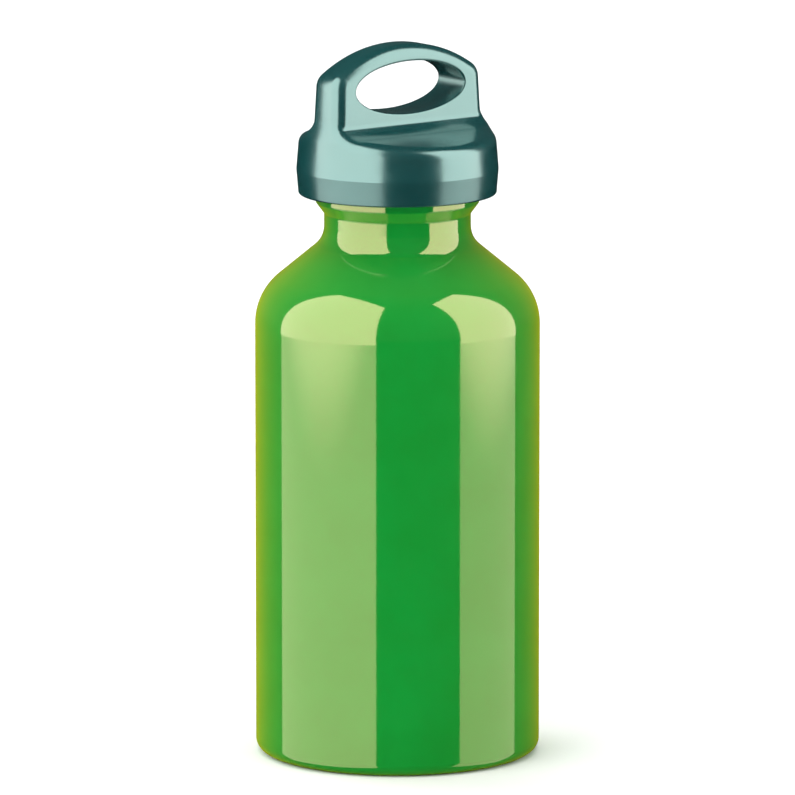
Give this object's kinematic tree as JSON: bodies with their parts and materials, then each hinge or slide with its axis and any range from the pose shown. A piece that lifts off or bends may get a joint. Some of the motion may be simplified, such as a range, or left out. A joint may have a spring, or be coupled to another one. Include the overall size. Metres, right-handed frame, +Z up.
{
  "type": "camping fuel bottle",
  "caption": "Round metal fuel bottle with sloping shoulders, a narrow neck and a push-and-turn screw cap with a carrying loop.",
  "frame": {"origin": "centre of the foot ring that the bottle stands on", "axes": "+Z up along the bottle's axis; the carrying loop runs along X"},
  "size_m": [0.068, 0.068, 0.1711],
  "materials": {
    "enamelled_aluminium": "gloss",
    "seal_rubber": "matte",
    "stopper_plastic": "satin",
    "spring_steel": "satin",
    "cap_plastic": "satin"
  },
  "bodies": {
    "bottle": {"bottle_shell": "enamelled_aluminium"},
    "seal": {"o_ring": "seal_rubber"},
    "plug": {"stopper": "stopper_plastic"},
    "spring": {"return_spring": "spring_steel"},
    "cap": {"outer_cap": "cap_plastic"}
  },
  "joints": [
    {"name": "thread_rise", "type": "slide", "parent": "bottle", "child": "seal", "axis": [0, 0, 1], "range_m": [0, 0.021]},
    {"name": "cap_turn", "type": "hinge", "parent": "seal", "child": "plug", "pos_m": [0, 0, 0.13], "axis": [0, 0, 1], "range_deg": [0, 2520]},
    {"name": "cap_spin", "type": "hinge", "parent": "plug", "child": "spring", "pos_m": [0, 0, 0.14], "axis": [0, 0, 1], "continuous": true},
    {"name": "cap_press", "type": "slide", "parent": "spring", "child": "cap", "axis": [0, 0, -1], "range_m": [0, 0.0015], "stiffness_N_per_m": 2000, "deforming": ["return_spring"]}
  ],
  "couplings": [
    {"joint": "thread_rise", "follows": "cap_turn", "m_per_rad": 0.00047746}
  ]
}
